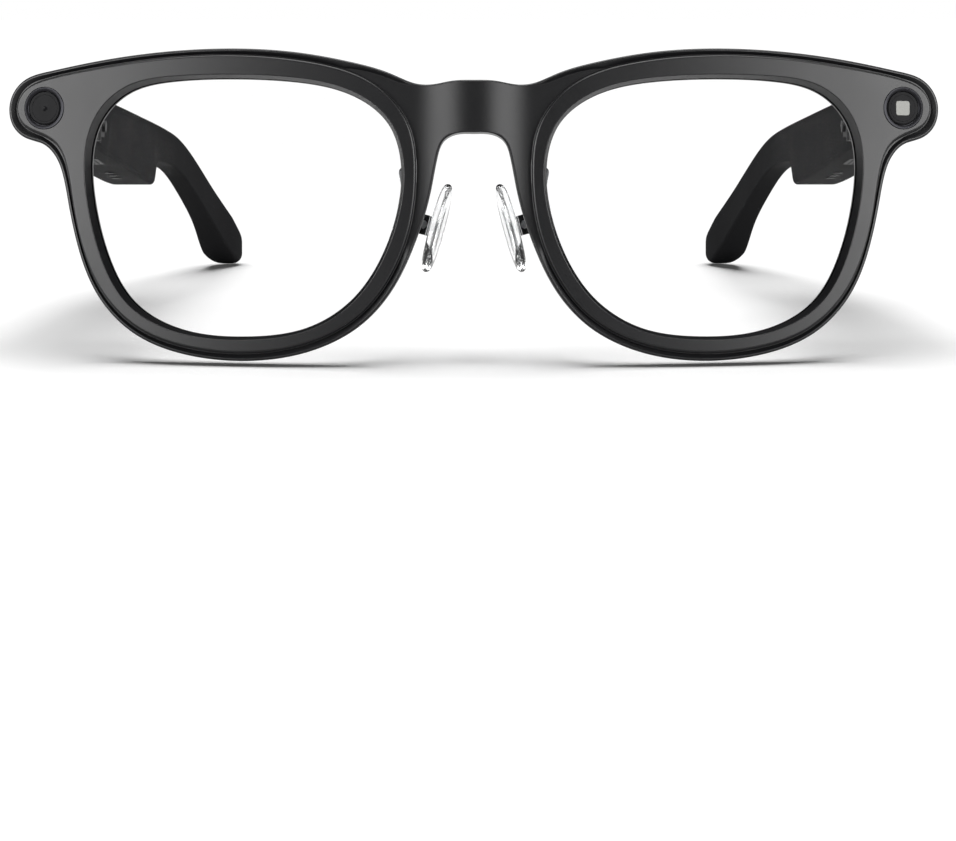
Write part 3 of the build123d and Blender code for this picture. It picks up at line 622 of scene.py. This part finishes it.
def templePart():
    # Rounded-rectangle sections between the four limits, closer together where they change fast.
    start, end, endFrom, edge = temple["front"], temple["end"], temple["endFrom"], temple["frontEdge"]
    y = np.concatenate([start + edge * (1 - np.cos(np.linspace(0, math.pi / 2, 6))),
                        np.linspace(start + 0.9, 81, 70), np.linspace(81.4, 92, 60),
                        np.linspace(93, 141, 90),
                        141 + (end - 141) * np.sin(np.linspace(0.02, math.pi / 2, 46))])
    top, under, inside, outside = templeLimits(y)
    endRound = np.sqrt(np.clip(1 - ((y - endFrom) / (end - endFrom)).clip(0, 1)**2, 0, 1))
    middle, halfWide = (inside + outside) / 2, (outside - inside) / 2 * np.maximum(endRound, 0.02)
    shoulder = edge - np.sqrt(np.clip(edge**2 - (edge - (y - start)).clip(0, edge)**2, 0, None))
    halfWide, halfHigh = halfWide - shoulder, (top - under) / 2 - shoulder
    centreZ = (top + under) / 2
    corners, angles = [], np.linspace(0, math.pi / 2, 8)
    for k, (sx, sz) in enumerate(((1, 1), (-1, 1), (-1, -1), (1, -1))):
        turn = angles + k * math.pi / 2
        corners += [(sx, sz, math.cos(a), math.sin(a)) for a in turn]
    sx, sz, ca, sa = (np.array(v) for v in zip(*corners))
    full = np.clip((y - temple["tipFrom"]) / temple["change"], 0, 1)[:, None]
    slim = np.clip((y - temple["slimFrom"]) / temple["change"], 0, 1)[:, None]
    outerCorner = temple["boxCorner"] + (temple["armCorner"] - temple["boxCorner"]) * slim
    radius = np.where(sx[None, :] > 0, outerCorner, temple["innerCorner"])
    radius = radius + (temple["tipCorner"] - radius) * full
    radius = np.minimum(radius, 0.98 * np.minimum(np.abs(halfWide), np.abs(halfHigh))[:, None]).clip(0.001)
    x = middle[:, None] + sx * (halfWide[:, None] - radius) + ca * radius
    z = centreZ[:, None] + sz * (halfHigh[:, None] - radius) + sa * radius
    points = np.stack([x, np.broadcast_to(y[:, None], x.shape), z], -1)
    ends = [np.broadcast_to(points[i].mean(0), points[i].shape) for i in (0, -1)]
    points = np.concatenate([ends[0][None], points, ends[1][None]])
    return points.reshape(-1, 3), gridFaces(len(points), len(corners), closedColumns=True)


def limitsAt(y):
    return templeLimits(np.atleast_1d(np.asarray(y, float)))


def onInside(y, z, height):
    return np.stack([limitsAt(y)[2] - height, y, z], -1)


def onUnderside(x, y, height):
    return np.stack([x, y, limitsAt(y)[1] - height], -1)


def onOutside(y, z, height):
    return np.stack([limitsAt(y)[3] + height, y, z], -1)


lid = dict(start=27.2, end=84.0, top=18.3, wall=0.9, corner=1.2, rise=0.04, edge=0.06)
grille = dict(x=(65.4, 68.8), y=(39.5, 48.5), hole=0.25, pitch=0.9, rows=3, columns=9, corner=1.2,
              rise=0.05, edge=0.04)
touch = dict(start=40.0, end=78.0, low=11.4, high=17.4, corner=2.6, rise=0.04, edge=0.04)


def lidPart():
    floorAt = limitsAt([lid["start"], 82.2, lid["end"]])[1] + lid["wall"]
    corners = [(lid["start"], lid["top"]), (lid["end"], lid["top"]), (lid["end"], floorAt[1] + 0.6),
               (82.2, floorAt[1]), (lid["start"], floorAt[0])]
    return patch(roundedLoop(corners, lid["corner"]), onInside, lid["rise"], lid["edge"])


def grilleParts():
    # The plate, and the bores through it as one tool.
    (x0, x1), (y0, y1) = grille["x"], grille["y"]
    loop = roundedLoop([(x0, y0), (x1, y0), (x1, y1), (x0, y1)], grille["corner"])
    plate = patch(loop, onUnderside, grille["rise"], grille["edge"])
    bores = []
    for i in range(grille["columns"]):
        for j in range(grille["rows"]):
            at = np.array([x0 + 0.8 + grille["pitch"] * j, y0 + 0.9 + grille["pitch"] * i, 0])
            at[2] = limitsAt(at[1])[1][0]
            bores.append(turned([(0, -0.5), (grille["hole"], -0.5), (grille["hole"], 0.25), (0, 0.25)], at,
                                np.array([0, 0, -1.0]), np.array([1.0, 0, 0]), 14))
    return plate, joined(bores)


knuckleRoom = turned([(0, -8), (1.7, -8), (1.7, 12), (0, 12)], pinDrawn, np.array([0, 0, 1.0]),
                     np.array([1.0, 0, 0]), 48)
for side, flip in sides:
    body = f"temple_{side}"
    shell = newPiece(f"temple_{side}_shell", flip(templePart()), body, nylonTemple,
                     [f"temple_shell_{side}"], cut=flip(knuckleRoom))
    newPiece(f"temple_{side}_lid", flip(lidPart()), body, nylonTemple,
             [f"temple_lid_{side}"])
    plate, bores = grilleParts()
    newPiece(f"speaker_grille_{side}_plate", flip(plate), body, etchedPlate,
             [f"speaker_grille_{side}"], cut=flip(bores))
zone = roundedLoop([(touch["start"], touch["low"]), (touch["end"], touch["low"]),
                    (touch["end"], touch["high"]), (touch["start"], touch["high"])], touch["corner"])
newPiece("touch_zone_right", mirrored(patch(zone, onOutside, touch["rise"], touch["edge"])),
         "temple_right", nylonFront, [])
print("temples made:", len(shell.data.polygons), "faces each")

# Nose pads: an ellipse with rounded rims, crowned on the nose side.
pad = dict(centre=(5.9, 9.5, -3.0), lean=15.2, splay=6.0, length=14.6, width=7.4, thick=2.0,
           edgePower=0.24, crown=0.2)
lean, splay = math.radians(pad["lean"]), math.radians(pad["splay"])
padUp = np.array([-math.sin(lean), 0, math.cos(lean)])
padOut = np.array([-math.cos(lean) * math.cos(splay), -math.sin(splay), -math.sin(lean) * math.cos(splay)])
padAcross = np.cross(padUp, padOut)
padAcross /= np.linalg.norm(padAcross)
padAlong = np.cross(padOut, padAcross)


def padPart():
    # Rings of an ellipse: radius share and height from a superellipse edge, crowned in the middle.
    angle = np.linspace(0, 2 * math.pi, 72, endpoint=False)
    rows = []
    for turn in np.linspace(0, math.pi, 33):
        height = -math.cos(turn) * pad["thick"] / 2
        shape = math.sin(turn)**pad["edgePower"] if 0 < turn < math.pi else 0
        rows.append((shape, height))
    share, height = (np.array(v)[:, None] for v in zip(*rows))
    across = share * np.cos(angle) * pad["width"] / 2
    along = share * np.sin(angle) * pad["length"] / 2
    lift = np.sign(height) * pad["crown"] * (share**2 - 1) * 0.5
    up = height + lift
    points = (np.array(pad["centre"]) + across[..., None] * padAcross + along[..., None] * padAlong
              + (up + 0 * across)[..., None] * padOut)
    return points.reshape(-1, 3), gridFaces(len(rows), len(angle), closedColumns=True)


for side, flip in sides:
    newPiece(f"nose_pad_{side}_soft", flip(padPart()), f"nose_pad_{side}", silicone,
             [f"nose_pad_{side}"])
print("nose pads made")

# CAD nodes that keep their shape take their real finish.
nodeFinishes = {
    "brow_cover": nylonTemple, "lug_lid": nylonTemple, "brow_flex": polyimide, "camera_module": epoxy,
    "led_board": diffuser, "hinge_frame_leaf": blackHinge, "hinge_temple_leaf": blackHinge,
    "hinge_frame_screws": blackScrew, "hinge_temple_screws": blackScrew, "hinge_pin": blackHinge,
    "pad_arm": drawnSteel, "pad_screw": tumbledSteel, "pad_core": padPlate, "lid_screws": blackScrew,
    "charge_contacts": blackNickel, "temple_core": drawnSteel, "battery": foil, "speaker": epoxy,
    "microphone": epoxy, "control_board": solderMask, "touch_sensor": polyimide,
    "button_switch": epoxy, "capture_button": nylonTemple}
for name, node in frame["nodes"].items():
    if not node.hide_render:
        stem = name.removesuffix("_left").removesuffix("_right")
        node.data.materials.clear()
        node.data.materials.append(nodeFinishes[stem])
print("frame nodes finished")

# Studio: pale floor, soft boxes either side and above, and the camera.
studio = dict(floorSize=40.0, cameraAt=(0.0, -352.0, -11.3), yaw=0.104, lens=85.0, drop=-0.147,
              boxSide=(0.95, -0.76, 0.25), boxSize=(1.12, 0.8), boxPower=38)
floor = bpy.data.objects.new("floor", bpy.data.meshes.new("floor"))
across = np.linspace(-studio["floorSize"], studio["floorSize"], 9)
gx, gy = np.meshgrid(across, across)
floorPoints = np.stack([gx, gy, np.zeros_like(gx)], -1).reshape(-1, 3)
floor.data.from_pydata(floorPoints.tolist(), [], gridFaces(9, 9).tolist())
floor.data.materials.append(finish("matt white board", "#fafafa", "#ffffff", 30.0, (0.85, 0.95),
                                   **{"Emission Color": (1, 1, 1, 1), "Emission Strength": 0.05}))
bpy.context.scene.collection.objects.link(floor)
floor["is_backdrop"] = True


# The boxes light the glasses only, so that the floor stays even.
glassesOnly = bpy.data.collections.new("glasses")
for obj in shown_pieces():
    glassesOnly.objects.link(obj)


def softBox(name, at, aim, size, power):
    data = bpy.data.lights.new(name, "AREA")
    data.shape, data.size, data.size_y, data.energy = "RECTANGLE", size[0], size[1], power
    light = bpy.data.objects.new(name, data)
    bpy.context.scene.collection.objects.link(light)
    light.light_linking.receiver_collection = glassesOnly
    way = np.array(aim) - np.array(at)
    light.location = at
    light.rotation_euler = (math.acos(-way[2] / np.linalg.norm(way)), 0, math.atan2(-way[0], way[1]))


x, y, z = studio["boxSide"]
softBox("box_left", (-x, y, z), (0, -0.06, 0.03), studio["boxSize"], studio["boxPower"])
softBox("box_right", (x, y, z), (0, -0.06, 0.03), studio["boxSize"], studio["boxPower"])
softBox("box_above", (0, -0.1, 1.3), (0, -0.05, 0.0), (1.6, 0.7), 16)
ceiling = bpy.data.objects.new("ceiling", bpy.data.lights.new("ceiling", "SUN"))
ceiling.data.energy, ceiling.data.angle = 3.3, math.radians(50)
bpy.context.scene.collection.objects.link(ceiling)
world = bpy.data.worlds.new("studio")
bpy.context.scene.world = world
world.use_nodes = True
tree = world.node_tree
tree.nodes.clear()
seen = addNode(tree, "ShaderNodeLightPath")
room = addNode(tree, "ShaderNodeBackground", {"Color": (1, 1, 1, 1), "Strength": 0.04})
sky = addNode(tree, "ShaderNodeBackground", {"Color": (1, 1, 1, 1), "Strength": 1.0})
mix = addNode(tree, "ShaderNodeMixShader", links={0: seen.outputs["Is Camera Ray"], 1: room.outputs[0],
                                                  2: sky.outputs[0]})
addNode(tree, "ShaderNodeOutputWorld", links={"Surface": mix.outputs[0]})
bpy.context.scene.view_settings.view_transform = "Standard"

camera = bpy.data.objects.new("camera", bpy.data.cameras.new("camera"))
bpy.context.scene.collection.objects.link(camera)
camera.data.lens, camera.data.sensor_width, camera.data.sensor_fit = studio["lens"], 36.0, "HORIZONTAL"
camera.data.clip_start, camera.data.clip_end = 0.01, 100.0
camera.location = placed(studio["cameraAt"])
camera.data.shift_y = studio["drop"]  # the glasses stand in the upper part of the frame
camera.rotation_euler = (math.pi / 2 - math.asin(tipSin), 0, math.radians(-studio["yaw"]))
bpy.context.scene.camera = camera
